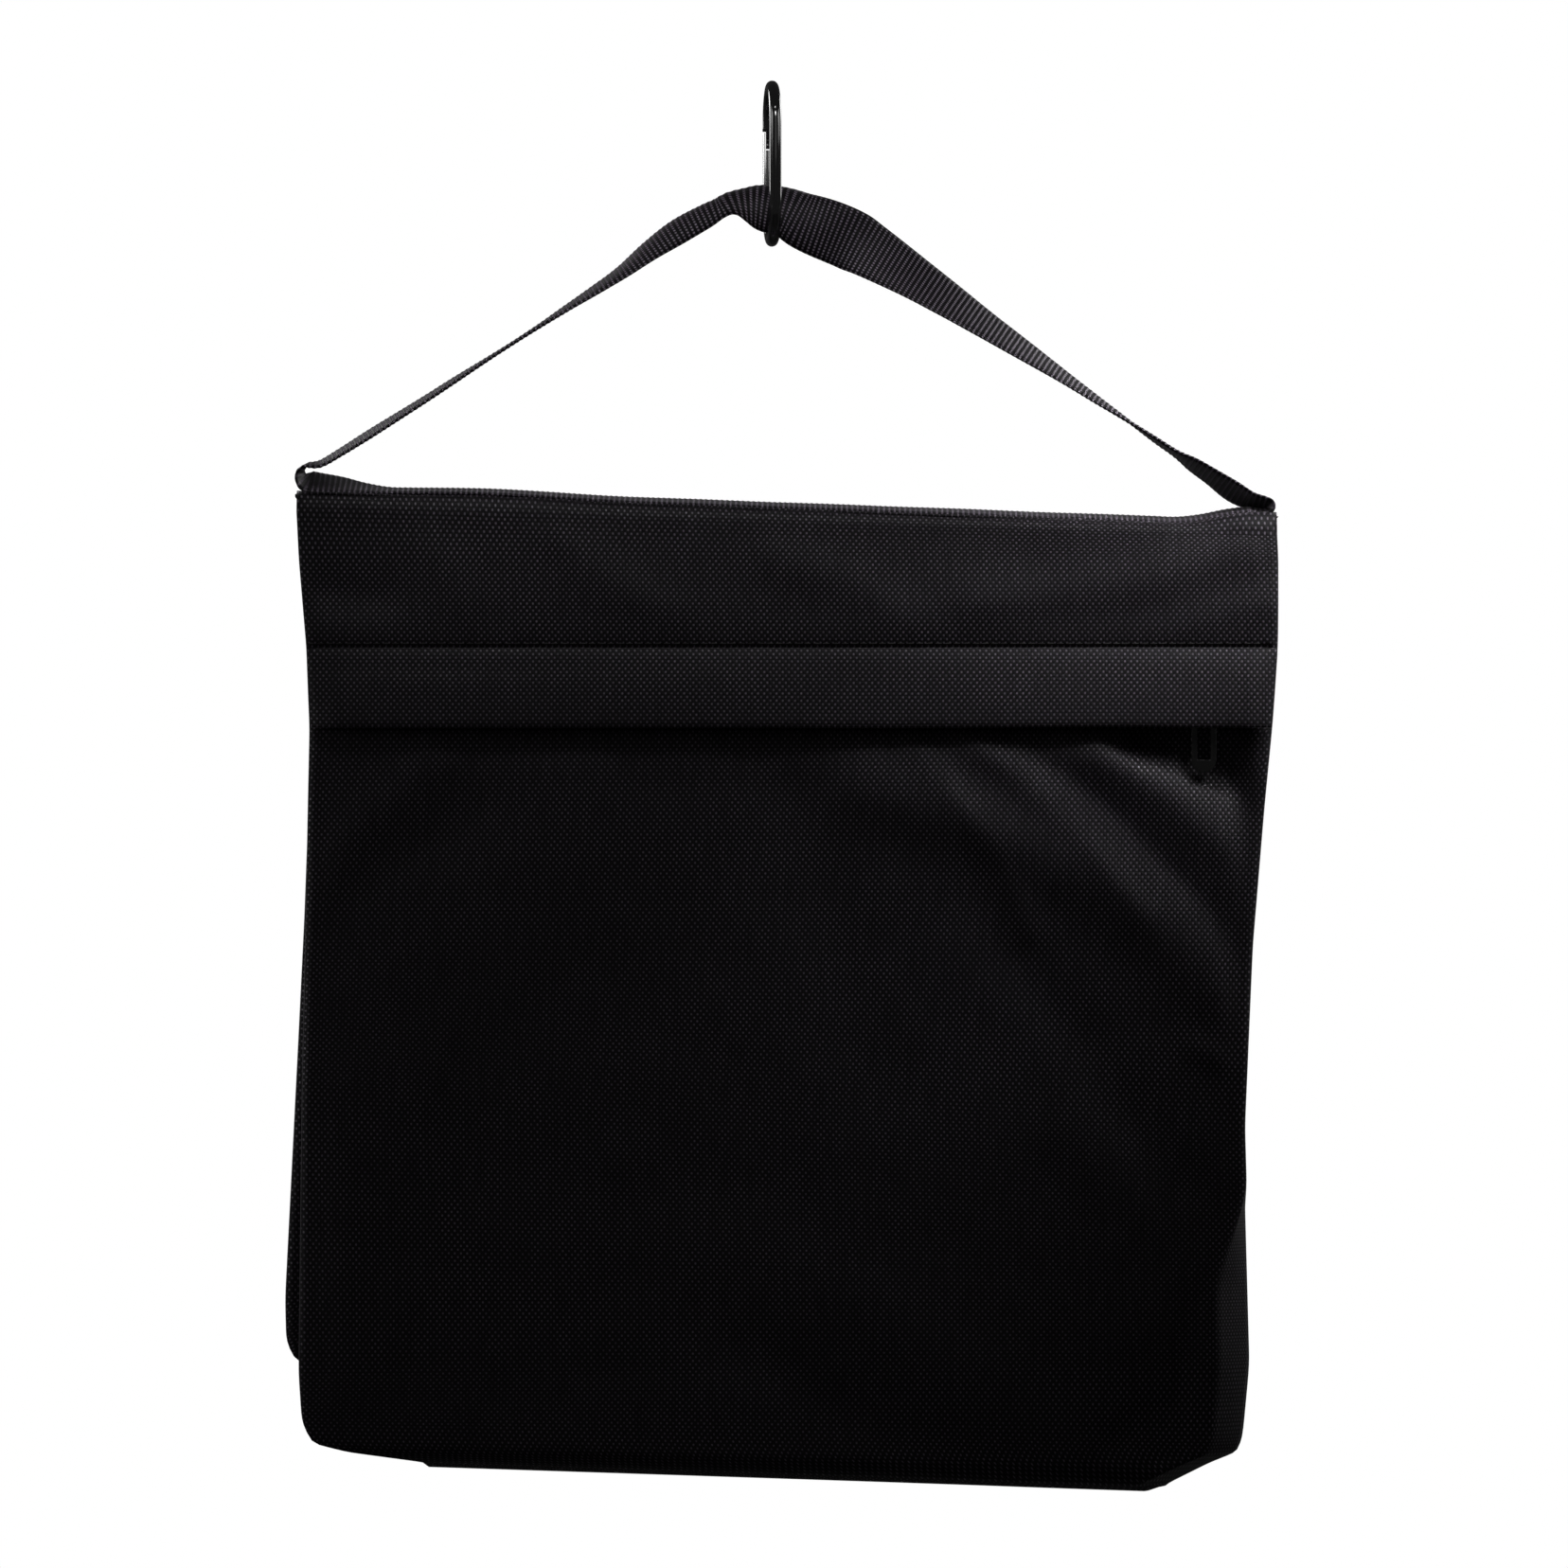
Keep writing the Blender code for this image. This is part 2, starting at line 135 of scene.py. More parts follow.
def grid_faces(rows, columns, start=0, closed=False):
    """Quads between neighbouring rows of points."""
    faces = []
    last = columns if closed else columns - 1
    for r in range(rows - 1):
        for c in range(last):
            n = (c + 1) % columns
            faces.append((
                start + r * columns + c,
                start + r * columns + n,
                start + (r + 1) * columns + n,
                start + (r + 1) * columns + c,
            ))
    return faces


def smoothstep(low, high, value):
    """0 up to low, 1 from high on and a smooth rise between them; high may be below low."""
    share = np.clip((value - low) / (high - low), 0, 1)
    return share * share * (3 - 2 * share)


def ridge_z(x):
    """Height of the straight line along the ridge."""
    return RIDGE_Z + RIDGE_SLOPE * x


def node_points(node):
    """A CAD node's points."""
    return np.array([v.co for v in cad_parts[node].data.vertices], float)


def side_line(node, left):
    """The edge of a flat CAD panel, from top to bottom, as heights and places across."""
    points = node_points(node)
    middle = points[:, 0].mean()
    chosen = points[points[:, 0] < middle] if left else points[points[:, 0] > middle]
    rows = sorted({(round(-z, 5), round(x, 5)) for x, y, z in chosen})
    return [-z for z, x in rows], [x for z, x in rows]


def depth_line(nodes, outer):
    """How far from the middle plane some CAD panels reach, by height."""
    reach = {}
    for node in nodes:
        for x, y, z in node_points(node):
            key = round(z, 5)
            pick = max if outer else min
            reach[key] = pick(reach.get(key, abs(y)), abs(y))
    heights = sorted(reach)
    return heights, [reach[z] for z in heights]


# Materials

TAPE_RIB = 0.7 * MM
TAPE_ROW = 1.6 * MM


class Nodes:
    """A short way to write a material's node tree."""

    def __init__(self, name):
        self.material = bpy.data.materials.new(name)
        self.material.use_nodes = True
        self.tree = self.material.node_tree
        self.shader = self.tree.nodes["Principled BSDF"]

    def feed(self, socket, value):
        """Join a socket to another node's output, or give it a value."""
        if isinstance(value, bpy.types.NodeSocket):
            self.tree.links.new(value, socket)
        else:
            socket.default_value = value

    def put(self, kind, inputs=(), **settings):
        """A new node, with its settings and what goes into it."""
        node = self.tree.nodes.new(kind)
        for key, value in settings.items():
            setattr(node, key, value)
        for key, value in dict(inputs).items():
            self.feed(node.inputs[key], value)
        return node

    def math(self, operation, first, second=0.0, third=0.0):
        return self.put("ShaderNodeMath", {0: first, 1: second, 2: third}, operation=operation).outputs[0]

    def wave(self, place, pitch, shift=0.0):
        """A sine wave along a coordinate, between -1 and 1."""
        return self.math("SINE", self.math("MULTIPLY_ADD", place, math.tau / pitch, shift))

    def ramp(self, value, low, high, to_low=0.0, to_high=1.0):
        """A smooth step from one value to another."""
        inputs = {"Value": value, "From Min": low, "From Max": high, "To Min": to_low, "To Max": to_high}
        return self.put("ShaderNodeMapRange", inputs, interpolation_type="SMOOTHSTEP").outputs[0]

    def mix(self, share, first, second):
        """A blend of two colours."""
        return self.put("ShaderNodeMix", {0: share, 6: first, 7: second}, data_type="RGBA").outputs[2]

    def noise(self, place, scale, detail=2.0):
        """Soft spots, from 0 to 1; scale is in spots per metre."""
        inputs = {"Vector": place, "Scale": scale, "Detail": detail}
        return self.put("ShaderNodeTexNoise", inputs).outputs["Fac"]

    def stretched(self, place, scales):
        """A place with each of its axes scaled."""
        return self.put("ShaderNodeVectorMath", {0: place, 1: scales}, operation="MULTIPLY").outputs[0]

    def bump(self, height, strength, distance):
        """Normals that follow a height."""
        inputs = {"Height": height, "Strength": strength, "Distance": distance}
        return self.put("ShaderNodeBump", inputs).outputs[0]

    def place(self):
        """Places on the object, in metres."""
        return self.put("ShaderNodeTexCoord").outputs["Object"]

    def cut(self):
        """Places on the flat cloth, in metres: as a vector, across and down."""
        place = self.put("ShaderNodeUVMap", uv_map="cut").outputs[0]
        split = self.put("ShaderNodeSeparateXYZ", {0: place})
        return place, split.outputs[0], split.outputs[1]

    def finish(self, **inputs):
        """The material, once its shader has these inputs."""
        for key, value in inputs.items():
            self.feed(self.shader.inputs[key.replace("_", " ")], value)
        return self.material


def grey(value, tint=0.0):
    """A near-neutral colour, with a little violet when tint is above 0."""
    return (value * (1 + 0.06 * tint), value * (1 - 0.05 * tint), value * (1 + 0.12 * tint), 1)


def oxford_cloth():
    """Plain-woven black polyester, whose threads cross as staggered dots: the dots are painted pale into the
    colour, a painted highlight for the threads' glints.
    """
    n = Nodes("oxford_cloth")
    place, across, down = n.cut()
    wobble = n.math("MULTIPLY", n.math("SUBTRACT", n.noise(place, 160.0), 0.5), 0.35)
    warp = n.wave(across, 2 * THREAD_ACROSS, wobble)
    weft = n.wave(down, 2 * THREAD_DOWN, wobble)
    over = n.math("MULTIPLY", warp, weft)
    dot = n.ramp(over, 0.25, 0.95)
    fibres = n.noise(n.stretched(place, (420.0, 60.0, 1.0)), 1.0)
    shine = n.math("MULTIPLY", dot, n.ramp(fibres, 0.3, 0.7, 0.55, 1.0))
    cloud = n.ramp(n.noise(place, 22.0, 3.0), 0.35, 0.65, 0.85, 1.1)
    height = n.math("ADD", n.math("ABSOLUTE", over), n.math("MULTIPLY", n.noise(place, 2500.0), 0.25))
    return n.finish(
        # painted highlight: the weave's dots (shine) lift the base colour to stand in for the threads'
        # glints
        Base_Color=n.mix(n.math("MULTIPLY", shine, cloud), grey(0.005, TINT), grey(0.105, TINT)),
        Roughness=n.ramp(shine, 0.0, 1.0, 0.62, 0.42),
        Specular_IOR_Level=n.ramp(shine, 0.0, 1.0, 0.16, 0.5),
        Sheen_Weight=0.12,
        Sheen_Roughness=0.35,
        Normal=n.bump(height, 0.35, 0.25 * MM),
    )


def webbing_cloth():
    """Ribbed black webbing: each rib carries a row of pale dots, a painted highlight on its crown, between
    dark grooves.
    """
    n = Nodes("webbing_cloth")
    place, across, along = n.cut()
    rib = n.wave(along, RIB)
    thread = n.wave(across, THREAD_ACROSS)
    # random unevenness of the painted highlight on the ribs
    uneven_highlight = n.ramp(n.noise(place, 600.0), 0.3, 0.7, 0.6, 1.0)
    lit = n.math("MULTIPLY", n.ramp(rib, -0.1, 0.9), n.ramp(thread, -0.6, 0.9, 0.08, 1.0))
    return n.finish(
        # painted highlight: lit, the rib crowns' rows of pale dots, is painted into the base colour; the
        # grooves keep the black
        Base_Color=n.mix(n.math("MULTIPLY", lit, uneven_highlight), grey(0.007, TINT), grey(0.32, TINT)),
        Roughness=0.5,
        Specular_IOR_Level=n.ramp(lit, 0.0, 1.0, 0.15, 0.5),
        Sheen_Weight=0.1,
        Sheen_Roughness=0.4,
        Normal=n.bump(thread, 0.3, 0.1 * MM),
    )


def zip_tape():
    """Close herringbone tape."""
    n = Nodes("zip_tape")
    split = n.put("ShaderNodeSeparateXYZ", {0: n.place()})
    height = n.math("MULTIPLY", n.wave(split.outputs[0], TAPE_RIB), n.wave(split.outputs[2], TAPE_ROW))
    return n.finish(
        Base_Color=n.mix(n.ramp(height, 0.0, 1.0), grey(0.006), grey(0.03)),
        Roughness=0.7,
        Specular_IOR_Level=0.3,
        Normal=n.bump(height, 0.5, 0.15 * MM),
    )


def plain_black(name, level, roughness, specular, scale, depth):
    """Moulded nylon, thread or lacquer: near black, with grain of a given scale and depth."""
    n = Nodes(name)
    grain = n.noise(n.place(), scale, 3.0)
    return n.finish(
        Base_Color=n.mix(grain, grey(level * 0.7), grey(level * 1.3)),
        Roughness=n.ramp(grain, 0.3, 0.7, roughness * 0.85, roughness * 1.15),
        Specular_IOR_Level=specular,
        Normal=n.bump(grain, 0.3, depth),
    )


def metal(name, level, roughness, scale):
    """Bare or plated metal with faint wear."""
    n = Nodes(name)
    wear = n.noise(n.stretched(n.place(), (1.0, 1.0, 0.12)), scale, 4.0)
    return n.finish(
        Base_Color=n.mix(wear, grey(level * 0.85), grey(level)),
        Metallic=1.0,
        Roughness=n.ramp(wear, 0.3, 0.7, roughness * 0.7, roughness * 1.4),
    )


CLOTH = oxford_cloth()
WEBBING = webbing_cloth()
TAPE = zip_tape()
NYLON = plain_black("zip_nylon", 0.012, 0.38, 0.5, 900.0, 0.05 * MM)
THREAD = plain_black("thread", 0.012, 0.55, 0.4, 2500.0, 0.08 * MM)
LACQUER = plain_black("black_lacquer", 0.008, 0.13, 0.75, 500.0, 0.0)
BLACK_NICKEL = metal("black_nickel", 0.2, 0.1, 300.0)
SILVER = metal("gate_silver", 0.82, 0.22, 300.0)
STEEL = metal("pin_steel", 0.5, 0.3, 600.0)


# Pouches

FOLDS = [  # on the front face: a line of (x, z), its half width and its height, in millimetres
    ([(150, -262), (172, -270), (188, -280), (200, -292)], 10, -7.0),
    ([(40, -284), (90, -300), (130, -320), (168, -350), (198, -388)], 15, 3.2),
    ([(132, -266), (156, -284), (182, -306), (199, -332)], 8, 1.9),
    ([(108, -268), (140, -294), (176, -330), (194, -356)], 6, -1.4),
    ([(80, -262), (98, -278), (126, -304), (150, -334)], 6, 1.3),
    ([(56, -262), (66, -278), (88, -304), (104, -340)], 6, 1.1),
    ([(172, -388), (186, -396), (198, -400)], 4, 1.6),
    ([(100, -356), (136, -400), (166, -446)], 11, -1.2),
    ([(120, -420), (150, -460), (160, -530)], 14, 1.0),
    ([(-8, -266), (22, -326), (40, -410)], 16, -1.0),
    ([(-190, -324), (-168, -298), (-138, -274)], 9, 1.8),
    ([(-192, -350), (-160, -320), (-118, -290)], 10, -1.0),
    ([(-150, -285), (-122, -340), (-112, -430)], 18, -1.2),
    ([(-78, -290), (-60, -360), (-66, -450)], 22, 1.0),
    ([(0, -470), (60, -510), (130, -550)], 16, 1.2),
    ([(-30, -500), (40, -540), (90, -560)], 12, -1.0),
    ([(150, -548), (176, -530), (186, -490)], 8, -1.5),
    ([(-186, -430), (-176, -500), (-150, -548)], 14, 1.0),
]
YOKE_FOLDS = [
    ([(84, -210), (122, -203), (156, -198), (192, -187)], 10, 1.9),
    ([(150, -223), (176, -216), (204, -208)], 7, 1.5),
    ([(2, -190), (36, -201), (54, -216)], 9, 1.4),
    ([(-88, -182), (-64, -200), (-40, -214)], 9, 1.7),
    ([(-192, -202), (-158, -206)], 9, -1.8),
    ([(-99, -172), (-99, -222)], 3, 0.8),
    ([(-140, -184), (-124, -208)], 8, 1.2),
]
REAR_FOLDS = [
    ([(-150, -262), (-170, -330), (-176, -420)], 16, 4.0),
    ([(140, -262), (100, -320), (60, -420)], 24, 3.0),
    ([(-40, -300), (-10, -400), (-30, -500)], 34, -3.5),
    ([(40, -440), (110, -480), (150, -510)], 22, 3.0),
]
PUFF = 4.0 * MM  # how far the cloth stands out just below the flap
PUFF_TOP = 14.0 * MM  # height over which it rises
PUFF_LOW = 0.150  # height over which it falls back
PUFF_LEFT = 0.08  # share of it at the left
PUFF_SPAN = (0.45, 0.75)  # where it grows to its full size, from the left edge to the right
CRUMPLES = ((1.3, 0.07, 0.0), (0.6, 0.024, 1.0))  # height in millimetres, size and seed of the cloth's waves
BACK_CRUMPLE = 1.2 * MM  # height of the back's waves
SEAM_DIP = 1.0 * MM  # how far the stitches pull the cloth in
SEAM_WIDTH = 3.0 * MM
SEAM_LIFT = 2.4 * MM  # how far the cloth there stands off the tape beneath
SEAM_CALM = 20.0 * MM  # reach of the folds' fading towards the seam
TAPE_HOLD = 7.2 * MM  # how far the cloth under the zip stops below the teeth
HEM_GAP = 0.3 * MM  # gap between the cloth's top edge and the webbing
BACK_DROP = 2.0 * MM  # how far the back's top edge stops below the front's
LEAST_DEEP = 1.0 * MM  # least distance between the front and the back
BOTTOM_SAG = 2.0 * MM  # how far the bottom hangs below its edges
SIDE_STEPS = 8
SIDE_BULGE = 0.03  # the sides' bulge against their width
ROLL_STEPS = 7
FLAP_STEPS = 14
FLAP_FOLD = 1.8 * MM  # thickness of the folded flap
FLAP_PUFF = 0.4 * MM  # bulge of its middle
FLAP_WAVE = 0.9 * MM  # unevenness of its face
FLAP_DROOP = 0.5 * MM  # unevenness of its lower edge
FLAP_INSET = 1.2 * MM  # how far its lower edge sits behind the CAD flap's front
FLAP_GAP = 0.2 * MM  # how far it stops short of the pouch's sides
FLAP_BEND = 1.2  # above 1, the flap bulges near its seam and hangs straighter below
FLAP_REST = 0.9  # how far the flap stands off away from the parked pull, against 1 over it
FLAP_END = 3.5 * MM  # how far the flap's sewn ends are held in
FLAP_CREASE = 0.9 * MM  # depth of the level crease in its left part
FLAP_TUCK = 1.1 * MM  # how far it starts above and behind its seam
SIDE_SHIFT = 13.0 * MM  # how far the face's lower right seam sits inside the pouch's edge
SIDE_SHIFT_Z = (-0.440, -0.490)  # heights where the shift starts and is full


def near_line(x, z, line):
    """Distance from points to a line of straight runs."""
    best = np.full(x.shape, 1e9)
    for (ax, az), (bx, bz) in zip(line, line[1:]):
        run = (bx - ax) ** 2 + (bz - az) ** 2
        share = np.clip(((x - ax) * (bx - ax) + (z - az) * (bz - az)) / run, 0, 1)
        best = np.minimum(best, np.hypot(x - ax - share * (bx - ax), z - az - share * (bz - az)))
    return best


def fold_height(folds, x, z):
    """How far the cloth stands proud because of its folds, in metres."""
    total = np.zeros(x.shape)
    for line, width, height in folds:
        total += height * np.exp(-((near_line(x / MM, z / MM, line) / width) ** 2))
    return total * MM


def crumple(x, z, size, seed):
    """Gentle uneven waves, between -1 and 1."""
    flat = [noise.noise(Vector((a / size, b / size, seed))) for a, b in zip(x.ravel(), z.ravel())]
    return np.array(flat).reshape(x.shape)


def ridge_lift(x):
    """The strap lifts the right end of the ridge."""
    return 5.5 * MM * smoothstep(RIDGE_RIGHT - 0.035, RIDGE_RIGHT, x)


def pouch_edges(prefix, rows):
    """The left and right edges of a pouch as rows of (x, z), rounded a little."""
    lines = []
    for left in (True, False):
        z, x = side_line(f"{prefix}_back", left)
        steps = np.hypot(np.diff(x), np.diff(z))
        lines.append((np.array(x), np.array(z), np.concatenate([[0], np.cumsum(steps)])))
    share = np.mean([line[2] / line[2][-1] for line in lines], axis=0)
    at = np.linspace(0, 1, rows)
    soft = np.hanning(7) / np.hanning(7).sum()
    made = []
    for x, z, _ in lines:
        dense_x, dense_z = np.interp(at, share, x), np.interp(at, share, z)
        padded = np.pad(dense_x, 3, mode="edge")
        made.append((np.convolve(padded, soft, "valid"), dense_z))
    return made


class Depth:
    """How far a pouch's front cloth stands from the middle plane."""

    def __init__(self, prefix):
        self.front = prefix == "front"
        self.seed = 3.0 if self.front else 11.0
        self.out_z, self.out_y = depth_line([f"{prefix}_yoke", f"{prefix}_face"], outer=True)

    def at(self, x, z, u):
        """Depth at places (x, z), where u runs from 0 at the left edge to 1 at the right one."""
        z = z + np.zeros(x.shape)
        inside = smoothstep(0, 0.05, u) * smoothstep(0, 0.04, 1 - u)
        below = smoothstep(ZIP_LOW + 0.004, ZIP_LOW - 0.012, z)
        y = np.interp(z, self.out_z, self.out_y) + self.puff(z, u)
        y = y + inside * below * fold_height(FOLDS if self.front else REAR_FOLDS, x, z)
        yoke = (1 - below) * fold_height(YOKE_FOLDS, x if self.front else -x, z)
        calm = np.where(z > ZIP_LOW, 0.25 + 0.75 * smoothstep(STITCH_Z, STITCH_Z + SEAM_CALM, z), 1.0)
        crumples = sum(height * crumple(x, z, size, self.seed + more) for height, size, more in CRUMPLES)
        y = y + calm * (smoothstep(0, 0.02, u) * yoke + inside * MM * crumples)
        y = y + SEAM_LIFT * smoothstep(RIDGE_Z, STITCH_Z, z) * (1 - below)
        return y - SEAM_DIP * np.exp(-(((z - STITCH_Z) / SEAM_WIDTH) ** 2))

    def puff(self, z, u):
        """How far the filling pushes the cloth out below the flap."""
        rise = smoothstep(FLAP_Z, FLAP_Z - PUFF_TOP, z)
        fall = smoothstep(FLAP_Z - PUFF_LOW, FLAP_Z - PUFF_TOP, z)
        share = PUFF_LEFT + (1 - PUFF_LEFT) * smoothstep(*PUFF_SPAN, u)
        return PUFF * share * smoothstep(0, 0.12, 1 - u) * (rise * fall)


def pouch_rows(prefix):
    """The pouch's front and back cloth as level rows of (x, y, z), from the ridge to the bottom."""
    low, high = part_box(f"{prefix}_back")
    rows = round((high.z - low.z) / GRID)
    (left_x, left_z), (right_x, right_z) = pouch_edges(prefix, rows)
    in_z, in_y = depth_line([f"{prefix}_back"], outer=False)
    depth = Depth(prefix)
    u = np.linspace(0, 1, round((high.x - low.x) / GRID) + 1)
    rim = smoothstep(0, 0.05, u) * smoothstep(0, 0.05, 1 - u)
    end = left_z[-1] + (right_z[-1] - left_z[-1]) * u
    start = int(np.argmax(left_z < left_z[0] - HEM_ROLL))
    fronts, backs = [], []
    for r in range(start, rows):
        x = left_x[r] + (right_x[r] - left_x[r]) * u
        z = left_z[r] + (right_z[r] - left_z[r]) * u
        under = np.clip(1 - (z - end) / BOTTOM_ROLL, 0, 1)
        y = depth.at(x, z, u) - BOTTOM_ROLL * (1 - np.sqrt(1 - under**2))
        back = np.interp(z, in_z, in_y) + BACK_CRUMPLE * rim * crumple(x, z, 0.06, 20.0)
        shift = SIDE_SHIFT * smoothstep(*SIDE_SHIFT_Z, z[-1]) if prefix == "front" else 0.0
        fronts.append((x - shift * smoothstep(0.6, 1.0, u), y, z))
        backs.append((x, np.minimum(back, y - LEAST_DEEP), z))
    x, y, z = fronts[0]
    top = ridge_height(x) - WEB_THICK / 2 - HEM_GAP
    for step in range(1, ROLL_STEPS + 1):
        angle = math.pi / 2 * step / ROLL_STEPS
        rise = (top - z) * math.sin(angle)
        fronts.insert(0, (x, y - HEM_ROLL * (1 - math.cos(angle)), z + rise))
        backs.insert(0, (x, np.interp(z, in_z, in_y), z + (top - BACK_DROP - z) * step / ROLL_STEPS))
    return fronts, backs


def pouch_cloth(prefix):
    """One pouch's cloth: front, sides, bottom and back, open behind the flap where the zip is."""
    sign = OUT[prefix]
    fronts, backs = pouch_rows(prefix)
    columns = len(fronts[0][0]) - 1
    points, cuts = [], []
    for (fx, fy, fz), (bx, by, bz) in zip(fronts, backs):
        loop = list(zip(fx, sign * fy, fz))
        loop += side_points((fx[-1], fy[-1], fz[-1]), (bx[-1], by[-1], bz[-1]), sign, 1)
        loop += list(zip(bx[::-1], sign * by[::-1], bz[::-1]))
        loop += side_points((bx[0], by[0], bz[0]), (fx[0], fy[0], fz[0]), sign, -1)
        loop.append(loop[0])
        spots = np.array(loop)
        run = np.concatenate([[0], np.cumsum(np.linalg.norm(np.diff(spots[:, :2], axis=0), axis=1))])
        points += loop
        cuts += [(place, fz.mean()) for place in run - run[columns // 2]]
    width = len(loop)

    def is_cloth(face):
        z = np.mean([points[i][2] for i in face])
        return face[0] % width >= columns or not ZIP_LOW - TAPE_HOLD < z < STITCH_Z

    faces = [face for face in grid_faces(len(fronts), width) if is_cloth(face)]
    base = len(points)
    last = base - width
    for d in range(SIDE_STEPS + 1):
        share = d / SIDE_STEPS
        for c in range(columns + 1):
            near = np.array(points[last + c])
            far = np.array(points[last + width - 1 - SIDE_STEPS - c])
            spot = near + (far - near) * share
            spot[2] -= BOTTOM_SAG * math.sin(math.pi * share)
            if c == 0:
                spot = points[base - 1 - d]
            if c == columns:
                spot = points[last + columns + d]
            points.append(tuple(spot))
            across, down = cuts[last + c]
            cuts.append((across, down - share * abs(far[1] - near[1])))
    faces += grid_faces(SIDE_STEPS + 1, columns + 1, base)
    obj = mesh_piece(f"{prefix}_pouch_cloth", points, faces, cuts)
    weld(obj, outward=True)
    obj.data.materials.append(CLOTH)
    return obj


def side_points(start, end, sign, way):
    """Points of a pouch's side between its front and back edges, bulging a little."""
    start, end = np.array(start), np.array(end)
    made = []
    for i in range(1, SIDE_STEPS):
        share = i / SIDE_STEPS
        spot = start + (end - start) * share
        bulge = way * SIDE_BULGE * abs(start[1] - end[1]) * math.sin(math.pi * share)
        made.append((spot[0] + bulge, sign * spot[1], spot[2]))
    return made


def weld(obj, outward=False):
    """Join points that coincide, and turn the faces to look out."""
    bm = bmesh.new()
    bm.from_mesh(obj.data)
    bmesh.ops.remove_doubles(bm, verts=bm.verts, dist=0.02 * MM)
    if outward:
        bmesh.ops.recalc_face_normals(bm, faces=bm.faces)
    bm.to_mesh(obj.data)
    bm.free()
    obj.data.update()


def thicken(obj, thickness, offset=-1):
    """Give a sheet its thickness: inwards, or to both sides when offset is 0."""
    modifier = obj.modifiers.new("thickness", "SOLIDIFY")
    modifier.thickness = thickness
    modifier.offset = offset


def flap_cloth(prefix):
    """The folded strip over the zip, as one closed band of cloth."""
    sign = OUT[prefix]
    low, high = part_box(f"{prefix}_flap")
    edge_y = max(abs(low.y), abs(high.y)) - FLAP_INSET
    left = side_line(f"{prefix}_back", True)
    right = side_line(f"{prefix}_back", False)
    depth = Depth(prefix)
    columns = round((high.x - low.x) / GRID)
    u = np.linspace(0, 1, columns + 1)
    seam_y = depth.at(low.x + (high.x - low.x) * u, STITCH_Z, u)
    layer = np.linspace(0, 1, FLAP_STEPS)
    outline = [(share, 0.0) for share in layer] + [(1.0, turn) for turn in (0.25, 0.5, 0.75)]
    outline += [(share, 1.0) for share in layer[::-1]]
    points, cuts = [], []
    for share, turn in outline:
        height = STITCH_Z + FLAP_TUCK + (FLAP_Z + FLAP_FOLD / 2 - STITCH_Z - FLAP_TUCK) * share
        x0, x1 = (np.interp(-height, [-z for z in line[0]], line[1]) for line in (left, right))
        x = np.linspace(x0 + FLAP_GAP, x1 - FLAP_GAP, columns + 1)
        run = (x - low.x) / (high.x - low.x)
        recover = SEAM_DIP * (1 - math.exp(-((share * FLAP_DEEP / SEAM_WIDTH) ** 2)))
        crease = FLAP_CREASE * np.exp(-((run / 0.36) ** 2)) * math.exp(-(((share - 0.3) / 0.12) ** 2))
        puff = FLAP_PUFF * math.sin(math.pi * share) * (1 + 0.6 * smoothstep(0.75, 0.95, run))
        wave = FLAP_WAVE * crumple(x, np.full(x.shape, height), 0.06, depth.seed + 28)
        wave = wave * smoothstep(0, 0.5, share)
        tuck = FLAP_TUCK * math.exp(-((share / 0.07) ** 2))
        sewn = FLAP_END * share * (2 - smoothstep(0, 0.03, run) - smoothstep(0, 0.03, 1 - run))
        loose = FLAP_REST + (1 - FLAP_REST) * smoothstep(0.6, 0.85, run)
        fall = (edge_y - seam_y.mean()) * (1 - (1 - share) ** FLAP_BEND) * loose
        outer = seam_y - tuck + fall + recover + puff - crease + wave - sewn
        thin = FLAP_FOLD * min(1.0, 0.35 + share)
        y = outer - thin * (1 - math.cos(math.pi * turn)) / 2
        droop = FLAP_DROOP * share * crumple(x, np.zeros(x.shape), 0.09, depth.seed + 40)
        z = height - FLAP_FOLD / 2 * math.sin(math.pi * turn) + droop
        points += list(zip(x, sign * y, z))
        down = share * FLAP_DEEP
        if turn > 0.5:
            down = 2 * FLAP_DEEP - down
        cuts += [(place, STITCH_Z - down) for place in x]
    count, width = len(outline), columns + 1
    faces = grid_faces(count, width)
    for c in (0, columns):
        for i in range(count // 2 - 1):
            j = count - 1 - i
            faces.append((i * width + c, (i + 1) * width + c, (j - 1) * width + c, j * width + c))
    top = (count - 1) * width
    faces += [(c, c + 1, top + c + 1, top + c) for c in range(columns)]
    obj = mesh_piece(f"{prefix}_flap_cloth", points, faces, cuts)
    weld(obj, outward=True)
    obj.data.materials.append(CLOTH)
    return obj


# Webbing

